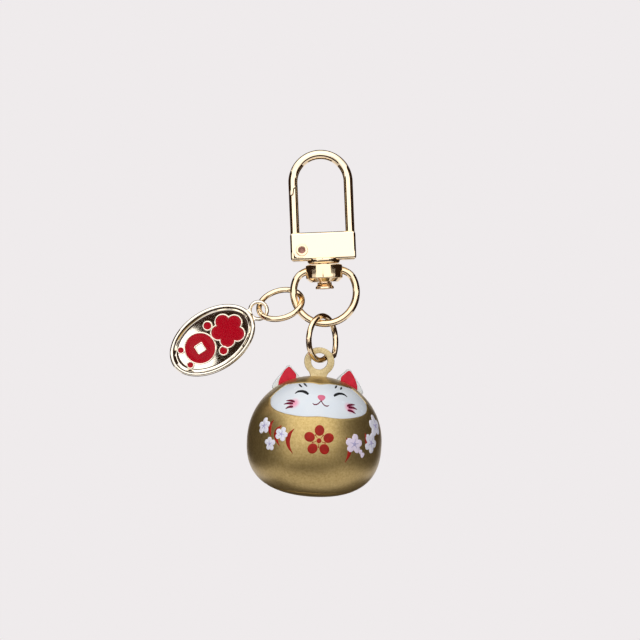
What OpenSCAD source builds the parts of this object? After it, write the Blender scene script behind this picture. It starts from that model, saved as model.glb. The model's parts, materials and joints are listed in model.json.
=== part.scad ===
// Lucky-cat daruma bell charm: a swivel snap hook, two jump rings, the
// round bell doll and an oval enamel tag. Millimetres, +Z up, front is -Y.
// The origin is the inside top of the hook's bow, where the charm hangs.

/* [Snap hook] */
// Thickness of the round bar of the bow and the gate
bar_d = 1.85; // [1.6:0.05:2.0]
// Width across the outside of the bow
bow_w = 12.9; // [12.4:0.1:13.2]
// Clear height from the block up to the inside top of the bow
bow_clear = 14.7; // [13:0.1:17]
// Width of the block
block_w = 13; // [12.9:0.1:13.6]
// Height of the block
block_h = 5.65; // [5.1:0.05:6]
// Thickness of the block, front to back
block_t = 4.6; // [4.2:0.1:5.4]
// Distance from the inside top of the bow down to the end of its nose
nose_reach = 7.45; // [6.8:0.05:8.5]

/* [Swivel ring] */
// Outer diameter of the collar that turns on the rivet
collar_d = 7.4; // [6.8:0.1:7.8]
// Radius of the ring's centre line
ring_r = 6.28; // [6.1:0.02:6.6]
// Thickness of the ring's bar
ring_bar_d = 1.44; // [1.3:0.02:1.5]

/* [Jump rings] */
// Outer diameter of a jump ring
link_d = 10; // [10:0.1:10.2]
// Wire of a jump ring
link_wire = 1.15; // [1.0:0.05:1.2]
// Turn of the doll's jump ring away from the swivel ring's plane
doll_link_turn = 56; // [54:1:64]
// Swing of the doll's jump ring to the left
doll_link_swing = 6.6; // [4:0.1:9]
// Tilt of the tag's jump ring about its long axis
tag_link_turn = -54; // [-58:1:-50]
// Drop of the tag's jump ring below level
tag_link_swing = 13; // [10:1:16]

/* [Doll] */
// Greatest width of the doll
doll_w = 26.9; // [25:0.1:28]
// Height of the doll without its ears and eyelet
doll_h = 23.3; // [22.5:0.1:25]
// Height of the widest place above the base
waist_z = 10.3; // [10:0.1:11.6]
// Thickness of the metal shell
wall = 0.7; // [0.6:0.05:0.9]
// Lean of the hanging doll to the right
doll_roll = 6.3; // [0:0.1:8]
// Turn of the doll's face to the right
doll_yaw = 4; // [0:0.5:6]
// Diameter of the loose ball inside the bell
pellet_d = 5; // [4:0.1:6]

/* [Tag] */
// Length of the oval plate
tag_l = 18.7; // [17.5:0.1:19.5]
// Width of the oval plate
tag_w = 12.3; // [11.5:0.1:13]
// Thickness of the plate at its rim
tag_t = 1.6; // [1.4:0.1:2]
// Slope of the tag below level
tag_slope = 30.7; // [26:0.1:34]

/* [Hidden] */
$fn = 96;

hook_gold = [0.93, 0.79, 0.56];
doll_gold = [0.60, 0.49, 0.24];
cream = [0.93, 0.95, 0.97];
coral = [0.85, 0.16, 0.22];
enamel_red = [0.68, 0.05, 0.07];
steel = [0.72, 0.72, 0.74];

// Hook
bar_r = bar_d / 2;
bow_r = bow_w / 2 - bar_r;          // centre line of the bow's arc
bow_z = -(bow_r - bar_r);           // height of the arc's centre
block_top = -bow_clear;
block_bottom = block_top - block_h;
block_mid = (block_top + block_bottom) / 2;
edge = 0.25;                        // chamfer along the block's edges
notch = 0.15;                       // gap in the closed nose joint
nose_gap = 0.25;                    // wider gap at the outer end of the joint
tongue = 1.9;                       // length of the two lapped tongues

// Gate pivot
pin_x = -4.25;
pin_z = block_bottom + 2.15;
pin_r = 0.6;
pin_head_r = 1.2;
pin_head_t = 0.3;
tab_t = bar_d;                      // the gate's flat tab is as thick as its bar
slot_w = tab_t + 0.15;
slot_right = -2.3;
slot_floor = block_bottom + 0.85;
tab_face = -3.6;                    // the spring pushes on this face of the tab
boss_r = 1.1;

// Gate spring
spring_z = pin_z + 1.9;
spring_end = 0.3;                   // blind end of the spring's bore
spring_bore_r = 0.85;
spring_r = 0.62;                    // centre line of the coil
spring_wire = 0.25;
spring_turns = 6;

// Swivel
stud_boss_r = 3.3;                  // at the block; it tapers toward the collar
stud_boss_tip_r = 3.1;
stud_boss_h = 0.6;
collar_r = collar_d / 2;
collar_top = block_bottom - stud_boss_h - 0.2;
collar_h = 2.85;
collar_edge = 0.35;
collar_bottom = collar_top - collar_h;
collar_cone_h = 0.6;                // the collar's underside narrows over this height
collar_cone_r = 2.75;
rivet_r = 1.1;
rivet_fit = 0.08;                   // radial running clearance in the collar
rivet_depth = 2.7;                  // press fit in the block
rivet_head_r = 1.85;
rivet_neck_r = 1.45;
ring_bar_r = ring_bar_d / 2;
ring_z = block_bottom - 6.25;       // centre of the swivel ring
shoulder_r = 3.2;                   // tighter bend where the ring meets the collar
ring_top = 4.3;                     // height of the bar's top above the ring's centre
shoulder_a = asin((ring_top - shoulder_r) / (ring_r - shoulder_r));

// Jump rings
wire_r = link_wire / 2;
link_r = link_d / 2 - wire_r;
link_gap = 0.2;
link_drop = ring_r - ring_bar_r - wire_r - link_gap + link_r;
cut_angle = 2;                      // the saw cut in a jump ring, in degrees
link_end = link_drop + link_r;      // ring centre to the far wire of a link

// Doll, in its own frame: base centre at the origin, front at -Y
doll_r = doll_w / 2;
crown = doll_h - waist_z;           // half height above the waist
bowl = waist_z + 0.334;             // half height below it, before the flat base
bowl_power = 2.6;
crown_power = 2.05;
steps = 14;                         // points along each half of the outline
seam_z = 1.3;
lip_h = 1.3;
lip_t = 0.5;
pocket = 0.35;                      // depth of the face's recess
enamel_low = 0.1;                   // the face stays this far below the gold
eyelet_r = 3.0;
eyelet_hole_r = 1.65;
eyelet_t = 1.4;
eyelet_edge = 0.3;                  // bevel round the hole, both faces
eyelet_z = doll_h + 2.95;
stem_r = 0.9;
doll_hang = 0.25;                   // hole centre below the jump ring's wire

// Face outline
face_w = 19;
face_z = 18.2;                      // height of its widest place
face_up = 4.1;
face_down = 2.15;
brow_power = 2.3;
chin_power = 3.1;

// Ears
ear_x = 6.05;
ear_y = 1.6;
ear_t = 2.2;
ear_tip_z = doll_h + 1.65;
ear_round = 0.55;
ear_sink = 0.3;

// Bell slot
slit_w = 1.3;
slit_x = 5.4;
slit_hole_r = 1.1;

// Tag, in its own frame: hole centre at the origin, plate towards -X
tag_a = tag_l / 2;
tag_b = tag_w / 2;
bail_r = 2.1;
bail_hole_r = 1.35;
bail_t = 1.0;
bail_edge = 0.25;
tag_reach = tag_a + 1.6;            // hole centre to the plate's centre
rim = 1.45;
field_depth = 0.55;
cell_wall = 0.22;
cell_top = 0.12;                    // enamel and walls stay this far below the rim
tag_hang = 0.15;

// ---------- helpers ----------

module along_y(h) rotate([90, 0, 0]) linear_extrude(h, center = true) children();

module rod(r, h) cylinder(r = r, h = h);

// Part of a torus in the XZ plane, from angle a over the given sweep.
module bent_bar(radius, bar, a, sweep)
    rotate([90, 0, 0])
        rotate([0, 0, a])
            rotate_extrude(angle = sweep)
                translate([radius, 0]) circle(bar);

// Rectangle with its four corners cut at 45 degrees.
module cut_rect(w, h, c)
    polygon([
        [-w / 2 + c, -h / 2], [w / 2 - c, -h / 2], [w / 2, -h / 2 + c], [w / 2, h / 2 - c],
        [w / 2 - c, h / 2], [-w / 2 + c, h / 2], [-w / 2, h / 2 - c], [-w / 2, -h / 2 + c]
    ]);

// Cutter for a hole along Y with both its edges bevelled.
module bevelled_hole(radius, thick, bevel)
    rotate([90, 0, 0]) {
        cylinder(r = radius, h = 2 * thick, center = true);
        for (side = [0, 1])
            mirror([0, 0, side]) translate([0, 0, thick / 2 - bevel])
                cylinder(r1 = radius, r2 = radius + 2 * bevel, h = 2 * bevel);
    }

// Superellipse quarter: the share of full width left at a share of full height.
function taper(share, power) = pow(max(0, 1 - pow(share, power)), 1 / power);

// ---------- snap hook ----------

module block()
    intersection() {
        translate([0, 0, block_mid]) along_y(block_t) cut_rect(block_w, block_h, edge);
        translate([0, 0, block_bottom])
            linear_extrude(block_h) cut_rect(block_w, block_t, edge);
        translate([0, 0, block_mid]) rotate([90, 0, 90])
            linear_extrude(block_w, center = true) cut_rect(block_t, block_h, edge);
    }

module bow() {
    translate([0, 0, bow_z]) bent_bar(bow_r, bar_r, 0, 180);
    translate([bow_r, 0, block_top - 1]) rod(bar_r, bow_z - block_top + 1);
    difference() {
        translate([-bow_r, 0, -nose_reach]) rod(bar_r, nose_reach + bow_z);
        translate([-bow_r - notch / 2, -bar_d, -nose_reach - 1])
            cube([bar_d, 2 * bar_d, 1 + tongue + notch]);
    }
}

module gate_slot()
    translate([-block_w, -slot_w / 2, slot_floor])
        cube([block_w + slot_right, slot_w, block_h]);

module hook_frame()
    color(hook_gold) difference() {
        union() {
            block();
            bow();
            translate([0, 0, block_bottom - stud_boss_h])
                cylinder(r1 = stud_boss_tip_r, r2 = stud_boss_r, h = stud_boss_h);
            translate([0, 0, block_bottom]) rod(stud_boss_r, 1);
        }
        gate_slot();
        translate([pin_x, 0, pin_z]) rotate([90, 0, 0])
            cylinder(r = pin_r, h = 2 * block_t, center = true);
        for (side = [-1, 1])
            translate([pin_x, side * (block_t / 2), pin_z]) rotate([90, 0, 0])
                cylinder(r = pin_head_r + 0.05, h = 2 * (pin_head_t - 0.05), center = true);
        translate([slot_right - 1, 0, spring_z]) rotate([0, 90, 0])
            rod(spring_bore_r, spring_end - slot_right + 1);
        translate([0, 0, block_bottom - stud_boss_h - 1])
            rod(rivet_r, stud_boss_h + rivet_depth + 1);
    }

module gate_pin()
    color(hook_gold) translate([pin_x, 0, pin_z]) rotate([90, 0, 0]) {
        cylinder(r = pin_r, h = block_t - 0.2, center = true);
        for (side = [-1, 1])
            scale([1, 1, side]) translate([0, 0, block_t / 2 - pin_head_t + 0.05])
                difference() {
                    rod(pin_head_r, pin_head_t);
                    translate([0, 0, pin_head_t - 0.2])
                        cylinder(r1 = 0.3, r2 = 0.75, h = 0.21);
                }
    }

// Bar with its lapped tip, and a flat tab that turns on the pin.
module gate()
    color(hook_gold) difference() {
        union() {
            difference() {
                translate([-bow_r, 0, block_top - 1.5])
                    rod(bar_r, bow_clear - nose_reach + 1.5 + tongue - notch / 2);
                translate([-bow_r - bar_d + notch / 2, -bar_d, -nose_reach - nose_gap])
                    cube([bar_d, 2 * bar_d, tongue + 2]);
            }
            translate([-bow_r - bar_r, -tab_t / 2, pin_z - 0.7])
                cube([tab_face + bow_r + bar_r, tab_t, spring_z - pin_z + 1.6]);
            translate([pin_x, 0, pin_z]) rotate([90, 0, 0])
                cylinder(r = boss_r, h = tab_t, center = true);
        }
        translate([pin_x, 0, pin_z]) rotate([90, 0, 0])
            cylinder(r = pin_r + 0.06, h = 2 * tab_t, center = true);
    }

// Helix along X between the tab and the blind end of its bore.
module gate_spring() {
    sides = 8;
    rings = 14 * spring_turns;
    first = tab_face + 0.02 + spring_wire / 2;
    last = spring_end - 0.02 - spring_wire / 2;
    points = [
        for (i = [0 : rings], k = [0 : sides - 1])
            let (
                turn = 360 * spring_turns * i / rings,
                around = 360 * k / sides,
                radius = spring_r + spring_wire / 2 * cos(around)
            )
            [
                first + (last - first) * i / rings + spring_wire / 2 * sin(around),
                radius * cos(turn),
                spring_z + radius * sin(turn)
            ]
    ];
    faces = [
        [for (k = [0 : sides - 1]) k],
        for (i = [0 : rings - 1], k = [0 : sides - 1])
            let (next = (k + 1) % sides)
            [i * sides + next, i * sides + k, (i + 1) * sides + k, (i + 1) * sides + next],
        [for (k = [sides - 1 : -1 : 0]) rings * sides + k]
    ];
    color(steel) polyhedron(points, faces);
}

// ---------- swivel ----------

// Shank pressed into the block, with a flared and dimpled head under the collar.
module swivel_rivet() {
    top = block_bottom + rivet_depth;
    head = collar_bottom - collar_cone_h - 0.1;
    color(hook_gold) difference() {
        union() {
            translate([0, 0, head - 0.05]) rod(rivet_r, top - head + 0.05);
            translate([0, 0, head - 0.45]) rod(rivet_neck_r, 0.45);
            translate([0, 0, head - 0.95])
                cylinder(r1 = rivet_head_r, r2 = rivet_neck_r, h = 0.5);
            translate([0, 0, head - 1.35]) rod(rivet_head_r, 0.4);
        }
        translate([0, 0, head - 1.36]) cylinder(r1 = 1.1, r2 = 0.5, h = 0.4);
    }
}

module swivel_ring() {
    shoulder_x = (ring_r - shoulder_r) * cos(shoulder_a);
    shoulder_z = (ring_r - shoulder_r) * sin(shoulder_a);
    color(hook_gold) difference() {
        union() {
            translate([0, 0, collar_bottom + collar_edge])
                rod(collar_r, collar_h - 2 * collar_edge);
            translate([0, 0, collar_bottom])
                cylinder(r1 = collar_r - collar_edge, r2 = collar_r, h = collar_edge);
            translate([0, 0, collar_bottom - collar_cone_h])
                cylinder(r1 = collar_cone_r, r2 = collar_r - collar_edge, h = collar_cone_h);
            translate([0, 0, collar_top - collar_edge])
                cylinder(r1 = collar_r, r2 = collar_r - collar_edge, h = collar_edge);
            translate([0, 0, ring_z]) {
                bent_bar(ring_r, ring_bar_r, 180 - shoulder_a, 180 + 2 * shoulder_a);
                for (side = [0, 1])
                    mirror([side, 0, 0]) translate([shoulder_x, 0, shoulder_z])
                        bent_bar(shoulder_r, ring_bar_r - 0.03, shoulder_a - 4, 88 - shoulder_a);
            }
        }
        translate([0, 0, collar_bottom - 1]) rod(rivet_r + rivet_fit, collar_h + 2);
    }
}

// ---------- jump rings ----------

// Ring in the XZ plane with a saw cut centred at the given angle.
module jump_ring(cut_at)
    color(hook_gold)
        bent_bar(link_r, wire_r, cut_at + cut_angle / 2, 360 - cut_angle);

module doll_jump_ring()
    translate([0, 0, ring_z]) rotate([0, doll_link_swing, 0])
        translate([0, 0, -link_drop]) rotate([0, 0, doll_link_turn]) jump_ring(-52);

module tag_jump_ring()
    translate([0, 0, ring_z]) rotate([0, -tag_link_swing, 0])
        translate([-link_drop, 0, 0]) rotate([tag_link_turn, 0, 0]) jump_ring(118);

// ---------- doll ----------

// Hangs the doll, drawn in its own frame, from the jump ring.
module hang_doll()
    translate([
        -link_end * sin(doll_link_swing), 0,
        ring_z - link_end * cos(doll_link_swing) - doll_hang
    ])
        rotate([0, doll_roll, 0]) rotate([0, 0, doll_yaw])
            translate([0, 0, -eyelet_z]) children();

// Half outline of the doll, moved inwards by the given inset.
function doll_outline(inset) =
    let (
        low = bowl - inset,
        high = crown - inset,
        wide = doll_r - inset,
        flat = (waist_z - inset) / low,
        start = acos(pow(flat, bowl_power / 2))
    )
    [
        [0, inset],
        for (i = [0 : steps])
            let (a = start + (90 - start) * i / steps, down = pow(max(0, cos(a)), 2 / bowl_power))
            [wide * taper(down, bowl_power), waist_z - low * down],
        for (i = [1 : steps - 1])
            let (a = 90 * i / steps, up = pow(sin(a), 2 / crown_power))
            [wide * taper(up, crown_power), waist_z + high * up],
        [0, waist_z + high]
    ];

module doll_solid(inset) rotate_extrude() polygon(doll_outline(inset));

// Outline of the face: wide, with a dip at the middle of the brow and a raised chin line.
function face_point(a) =
    let (
        side = cos(a),
        rise = sin(a),
        power = rise >= 0 ? brow_power : chin_power,
        x = face_w / 2 * sign(side) * pow(abs(side), 2 / power),
        dip = 0.2 * exp(-pow(x, 2)),
        chin = 0.28 * exp(-pow(x / 2.4, 2)),
        z = pow(abs(rise), 2 / power)
    )
    [x, face_z + (rise >= 0 ? face_up * z - dip : chin - face_down * z)];

module face_prism()
    translate([0, -doll_r, 0])
        along_y(2 * doll_r - 4) polygon([for (i = [0 : 43]) face_point(360 * (i + 0.5) / 44)]);

module bell_shell()
    color(doll_gold) hang_doll() difference() {
        rotate_extrude() difference() {
            polygon(doll_outline(0));
            polygon(doll_outline(wall));
            translate([-1, -1]) square([doll_w, seam_z + 1]);
        }
        difference() {
            face_prism();
            doll_solid(pocket);
        }
        translate([0, 0, doll_h - 3]) rod(stem_r, 4);
    }

module face_enamel()
    color(cream) hang_doll() difference() {
        intersection() {
            doll_solid(enamel_low);
            face_prism();
        }
        doll_solid(pocket);
    }

// Bottom pan with a spigot lip inside the shell and the bell's slot.
module bell_base() {
    lip_r = 7.35;
    color(doll_gold) hang_doll() difference() {
        rotate_extrude() union() {
            difference() {
                polygon(doll_outline(0));
                polygon(doll_outline(wall));
                translate([-1, seam_z]) square([doll_w, doll_h]);
            }
            translate([lip_r - lip_t, seam_z - 0.5]) square([lip_t, lip_h + 0.5]);
        }
        translate([0, 0, -1]) linear_extrude(2.5) {
            square([2 * slit_x, slit_w], center = true);
            for (side = [-1, 1]) translate([side * slit_x, 0]) circle(slit_hole_r);
        }
    }
}

// Flat ring with a neck, its stem riveted over inside the crown.
module eyelet()
    color(doll_gold) hang_doll() difference() {
        union() {
            translate([0, 0, eyelet_z]) rotate([90, 0, 0])
                cylinder(r = eyelet_r, h = eyelet_t, center = true);
            difference() {
                translate([-1.6, -eyelet_t / 2, doll_h - 0.6])
                    cube([3.2, eyelet_t, eyelet_z - doll_h - 1]);
                doll_solid(0);
            }
            translate([0, 0, doll_h - wall - 0.5]) rod(stem_r, wall + 1.2);
            translate([0, 0, doll_h - wall - 0.9]) rod(1.5, 0.5);
        }
        translate([0, 0, eyelet_z]) bevelled_hole(eyelet_hole_r, eyelet_t, eyelet_edge);
    }

// Leaning triangular slab with a rounded tip.
module ear_form()
    translate([0, ear_y, 0]) {
        along_y(ear_t) translate([ear_x, ear_tip_z - ear_round]) circle(ear_round);
        along_y(ear_t) polygon([
            [ear_x - 0.5, ear_tip_z - 0.32],
            [ear_x + 0.5, ear_tip_z - 0.32],
            [ear_x + 3.25, 20.4],
            [ear_x + 2.2, 19.4],
            [ear_x - 2.6, 22.4]
        ]);
    }

// Coloured panel sunk in the front of the ear, over the given depth.
module ear_panel(depth)
    translate([0, ear_y - ear_t / 2 + depth / 2, 0]) along_y(depth)
        polygon([
            [ear_x, ear_tip_z - 0.3],
            [ear_x - 1.55, 23.3],
            [ear_x - 1.6, 22],
            [ear_x + 1.9, 20.8],
            [ear_x + 1.5, 22.6]
        ]);

module ear() color(cream) difference() {
    ear_form();
    doll_solid(0);
    translate([0, -0.01, 0]) ear_panel(ear_sink + 0.01);
}

module right_ear() hang_doll() ear();

module left_ear() hang_doll() mirror([1, 0, 0]) ear();

module inner_ears()
    color(coral) hang_doll() for (side = [0, 1]) mirror([side, 0, 0])
        difference() {
            translate([0, 0.05, 0]) ear_panel(ear_sink - 0.05);
            doll_solid(0);
        }

module pellet()
    color(steel) hang_doll() translate([0, 0, wall + pellet_d / 2 + 0.05])
        sphere(pellet_d / 2);

// ---------- tag ----------

// Hangs the tag, drawn with its hole at the origin, from its jump ring.
module hang_tag()
    translate([
        -link_end * cos(tag_link_swing) - tag_hang * cos(tag_slope), 0,
        ring_z - link_end * sin(tag_link_swing) - tag_hang * sin(tag_slope)
    ])
        rotate([0, -tag_slope, 0]) children();

// Ellipse drawn by its own formula, moved inwards by the given inset.
module oval(inset)
    translate([-tag_reach, 0])
        polygon([
            for (i = [0 : 71])
                [(tag_a - inset) * cos(5 * i), (tag_b - inset) * sin(5 * i)]
        ]);

// Five-petal blossom, grown all round by the given amount.
module blossom(radius, grow)
    for (i = [0 : 4]) rotate(72 * i + 18)
        translate([radius * 0.6, 0]) circle(radius * 0.42 + grow);

// Round coin; its square hole shrinks as the coin grows.
module coin(radius, hole, grow)
    difference() {
        circle(radius + grow);
        square(hole - 2 * grow, center = true);
    }

// The tag's enamel cells, with the long axis along X and the bail at +X.
module cells(grow)
    translate([-tag_reach, 0]) {
        translate([3.7, 0]) blossom(3.3, grow);
        translate([-2.9, 0]) coin(3.0, 1.9, grow);
        for (side = [-1, 1]) {
            translate([0.75, side * 2.95]) circle(0.75 + grow);
            translate([-6.35, side * 1.75]) circle(0.55 + grow);
        }
    }

module tag_plate() {
    floor_y = -tag_t / 2 + field_depth;
    wall_y = -tag_t / 2 + cell_top;
    color(hook_gold) hang_tag() difference() {
        union() {
            along_y(tag_t) oval(0);
            along_y(bail_t) {
                circle(bail_r);
                translate([-tag_reach + tag_a - 1.5, -1.3]) square([1.8, 2.6]);
            }
        }
        difference() {
            translate([0, floor_y - 1, 0]) along_y(2) oval(rim);
            translate([0, (floor_y + wall_y) / 2, 0])
                along_y(floor_y - wall_y) cells(cell_wall);
        }
        translate([0, (floor_y + wall_y) / 2, 0])
            along_y(floor_y - wall_y + 0.01) cells(0);
        bevelled_hole(bail_hole_r, bail_t, bail_edge);
    }
}

module tag_enamel() {
    floor_y = -tag_t / 2 + field_depth;
    wall_y = -tag_t / 2 + cell_top + 0.03;
    color(enamel_red) hang_tag() translate([0, (floor_y + wall_y) / 2, 0])
        along_y(floor_y - wall_y) cells(0);
}

hook_frame();
gate();
gate_pin();
gate_spring();
swivel_rivet();
swivel_ring();
doll_jump_ring();
tag_jump_ring();
bell_shell();
bell_base();
eyelet();
left_ear();
right_ear();
inner_ears();
face_enamel();
pellet();
tag_plate();
tag_enamel();
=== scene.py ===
"""Looks of the lucky-cat daruma bell keychain: its pieces, materials, lights and camera."""
import json
import math
import bmesh
import bpy
from mathutils import Matrix, Vector


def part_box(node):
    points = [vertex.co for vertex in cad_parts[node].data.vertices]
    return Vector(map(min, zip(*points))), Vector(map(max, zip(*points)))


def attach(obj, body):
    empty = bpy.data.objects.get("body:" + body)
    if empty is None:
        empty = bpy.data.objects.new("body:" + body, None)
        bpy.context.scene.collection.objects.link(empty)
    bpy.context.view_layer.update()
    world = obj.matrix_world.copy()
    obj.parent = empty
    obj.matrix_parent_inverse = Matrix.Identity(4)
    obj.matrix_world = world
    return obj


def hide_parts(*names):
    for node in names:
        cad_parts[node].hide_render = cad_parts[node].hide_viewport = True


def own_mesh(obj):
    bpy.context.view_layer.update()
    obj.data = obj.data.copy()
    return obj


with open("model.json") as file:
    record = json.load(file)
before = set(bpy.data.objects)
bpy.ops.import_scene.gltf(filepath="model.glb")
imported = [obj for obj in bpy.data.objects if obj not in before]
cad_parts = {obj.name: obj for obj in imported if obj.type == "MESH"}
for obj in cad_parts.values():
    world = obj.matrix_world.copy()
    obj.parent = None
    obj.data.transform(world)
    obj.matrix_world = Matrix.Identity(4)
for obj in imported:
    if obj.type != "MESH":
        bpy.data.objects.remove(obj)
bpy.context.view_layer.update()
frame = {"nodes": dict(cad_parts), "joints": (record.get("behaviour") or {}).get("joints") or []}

MM = 0.001
joints = {j["name"]: j for j in frame["joints"]}
rad = math.radians

# ---- sizes, mm


def at_joint(name):
    return Vector(joints[name]["pos_m"]) / MM


def box_mm(node):
    """Lowest and highest corners of a node at rest, to a micrometre."""
    return [[round(c / MM, 3) for c in point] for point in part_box(node)]


hook_low, hook_high = box_mm("hook_frame")
gate_low, gate_high = box_mm("gate")
swivel_high = box_mm("swivel_ring")[1]

# Snap hook
BAR_R = gate_high[1]               # round bar of the bow, the leg and the gate
BOW_R = -gate_low[0] - BAR_R       # centre line of the bow
BOW_Z = hook_high[2] - BAR_R - BOW_R
BOSS_R = 3.3                       # boss that the collar turns under
BOSS_H = 0.6
BLOCK_TOP = -14.7
BLOCK_BOTTOM = hook_low[2] + BOSS_H
BLOCK_W = hook_high[0] - hook_low[0]
BLOCK_T = 4.6
NOSE_LOW = -8.45                   # where the bow's bar stops before its joint is cut
GATE_TOP = -4.6
NOSE_GAP = 0.09                    # half the gap in the joint
PIN = at_joint("gate_hinge")
PIN_R = 0.6
SLOT_W = 2.0
SLOT_RIGHT = -2.3
SPRING_Z = PIN.z + 1.9
COIL_R = 0.62
COIL_TURNS = 6

# Swivel and jump rings
COLLAR_TOP = swivel_high[2]
COLLAR_BOTTOM = COLLAR_TOP - 2.85
COLLAR_R = 3.7
RIVET_R = 1.1
RING_CENTRE = at_joint("tag_link_swing")
RING_BAR_R = 0.72
RING_R = 6.28                      # centre line of the swivel's ring
SHOULDER_R = 3.2                   # tight bends where the ring meets the collar
SHOULDER_A = math.asin((4.3 - SHOULDER_R) / (RING_R - SHOULDER_R))
LINK_R = 4.425                     # centre line of a jump ring
WIRE_R = 0.575
LINK_DROP = 9.21                   # from the swivel ring's centre to a jump ring's

# Doll, in its own frame: base centre at the origin, front at -Y
DOLL_R = 13.45
DOLL_H = 23.3
WAIST = 10.3                       # height of the widest place
BOWL = 10.634                      # reach of the curve below it
CROWN = DOLL_H - WAIST             # and above it
WALL = 0.7
SEAM = 1.3                         # top of the bottom pan
POCKET = 0.35                      # depth of the face's recess
EYELET_Z = 26.25
EYELET_R = 3.0
EYELET_HOLE = 1.65
EYELET_T = 1.4
DOLL_ROLL = rad(6.3)
DOLL_YAW = rad(4)
DOLL_HANG = 0.25

# Tag, in its own frame: hole centre at the origin, plate towards -X, front at -Y
TAG_A = 9.35                       # half the oval's length
TAG_B = 6.15
TAG_T = 2 * box_mm("tag_plate")[1][1]
TAG_REACH = TAG_A + 1.6
TAG_RIM = 1.45                     # width of the rim
TAG_FIELD = 0.55                   # depth of the field behind it
TAG_SLOPE = rad(30.7)
TAG_HANG = 0.15
BAIL_R = 2.1
BAIL_HOLE = 1.35

# ---- frames of the hanging parts

doll_ring_at = (
    Matrix.Translation(RING_CENTRE)
    @ Matrix.Rotation(rad(6.6), 4, "Y")
    @ Matrix.Translation((0, 0, -LINK_DROP))
    @ Matrix.Rotation(rad(56), 4, "Z")
)
tag_ring_at = (
    Matrix.Translation(RING_CENTRE)
    @ Matrix.Rotation(rad(-13), 4, "Y")
    @ Matrix.Translation((-LINK_DROP, 0, 0))
    @ Matrix.Rotation(rad(-50), 4, "X")
)
doll_at = (
    Matrix.Translation(at_joint("doll_swing") + Vector((0, 0, -DOLL_HANG)))
    @ Matrix.Rotation(DOLL_ROLL, 4, "Y")
    @ Matrix.Rotation(DOLL_YAW, 4, "Z")
    @ Matrix.Translation((0, 0, -EYELET_Z))
)
tag_at = (
    Matrix.Translation(
        at_joint("tag_swing")
        + Vector((-TAG_HANG * math.cos(TAG_SLOPE), 0, -TAG_HANG * math.sin(TAG_SLOPE)))
    )
    @ Matrix.Rotation(-TAG_SLOPE, 4, "Y")
)
here = Matrix.Identity(4)

# ---- mesh helpers


def link(mesh, name):
    obj = bpy.data.objects.new(name, mesh)
    bpy.context.scene.collection.objects.link(obj)
    return obj


def from_data(name, verts, faces):
    mesh = bpy.data.meshes.new(name)
    mesh.from_pydata([tuple(v) for v in verts], [], faces)
    mesh.update()
    bm = bmesh.new()
    bm.from_mesh(mesh)
    bmesh.ops.recalc_face_normals(bm, faces=bm.faces)
    bm.to_mesh(mesh)
    bm.free()
    return link(mesh, name)


def circle(steps):
    """Points of a unit circle."""
    turns = [2 * math.pi * k / steps for k in range(steps)]
    return [(math.cos(a), math.sin(a)) for a in turns]


def bridge(rows, closed=False):
    """Faces between neighbouring rows of vertex numbers; a row of one vertex is a tip."""
    faces = []
    for a, b in list(zip(rows, rows[1:])) + ([(rows[-1], rows[0])] if closed else []):
        n = max(len(a), len(b))
        for k in range(n if n > 1 else 0):
            m = (k + 1) % n
            if len(a) == 1:
                faces.append((a[0], b[m], b[k]))
            elif len(b) == 1:
                faces.append((a[k], a[m], b[0]))
            else:
                faces.append((a[k], a[m], b[m], b[k]))
    return faces


def loft(name, rows, capped=True):
    """A skin over rows of points that each close on themselves, with flat ends if capped."""
    n = len(rows[0])
    numbers = [list(range(i * n, (i + 1) * n)) for i in range(len(rows))]
    caps = [numbers[0], numbers[-1][::-1]] if capped else []
    return from_data(name, [v for row in rows for v in row], bridge(numbers) + caps)


def tube(name, path, radius, sides=32):
    """A round bar along a path of points. radius may be one number or one for each point."""
    pts = [Vector(p) for p in path]
    radii = radius if isinstance(radius, list) else [radius] * len(pts)
    side = (pts[1] - pts[0]).normalized().orthogonal().normalized()
    rings = []
    for i, p in enumerate(pts):
        along = (pts[min(i + 1, len(pts) - 1)] - pts[max(i - 1, 0)]).normalized()
        side = (side - along * side.dot(along)).normalized()
        up = along.cross(side)
        rings.append([p + (side * c + up * s) * radii[i] for c, s in circle(sides)])
    return loft(name, rings)


def arc(centre, radius, a0, a1, steps):
    """Points of an arc, in degrees, in the XZ plane."""
    turns = [rad(a0 + (a1 - a0) * i / steps) for i in range(steps + 1)]
    return [
        Vector((centre[0] + radius * math.cos(a), 0, centre[1] + radius * math.sin(a)))
        for a in turns
    ]


def lathe(name, profile, steps=96, closed=False):
    """Turns (radius, height) points about Z. Points on the axis make one vertex."""
    verts, rows = [], []
    for r, z in profile:
        ring = [(r * c, r * s, z) for c, s in circle(steps)] if r > 1e-6 else [(0, 0, z)]
        rows.append(list(range(len(verts), len(verts) + len(ring))))
        verts += ring
    return from_data(name, verts, bridge(rows, closed))


def prism(name, outline, low, high):
    """A 2D outline in the XZ plane, extruded along Y."""
    n = len(outline)
    verts = [(x, low, z) for x, z in outline] + [(x, high, z) for x, z in outline]
    faces = [tuple(range(n)), tuple(reversed(range(n, 2 * n)))]
    faces += [(i, (i + 1) % n, n + (i + 1) % n, n + i) for i in range(n)]
    return from_data(name, verts, faces)


def turned(obj, axis, angle, move=(0, 0, 0)):
    obj.data.transform(Matrix.Translation(move) @ Matrix.Rotation(angle, 4, axis))
    return obj


def moved(obj, move):
    obj.data.transform(Matrix.Translation(move))
    return obj


def settle(obj):
    """Replaces an object's mesh by what its modifiers make of it."""
    deps = bpy.context.evaluated_depsgraph_get()
    mesh = bpy.data.meshes.new_from_object(obj.evaluated_get(deps))
    obj.modifiers.clear()
    old = obj.data
    obj.data = mesh
    bpy.data.meshes.remove(old)
    return obj


def combine(obj, operation, others):
    for other in others:
        m = obj.modifiers.new("boolean", "BOOLEAN")
        m.operation = operation
        m.solver = "EXACT"
        m.object = other
        settle(obj)
        bpy.data.objects.remove(other)
    return obj


def cut(obj, *tools):
    return combine(obj, "DIFFERENCE", tools)


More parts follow.
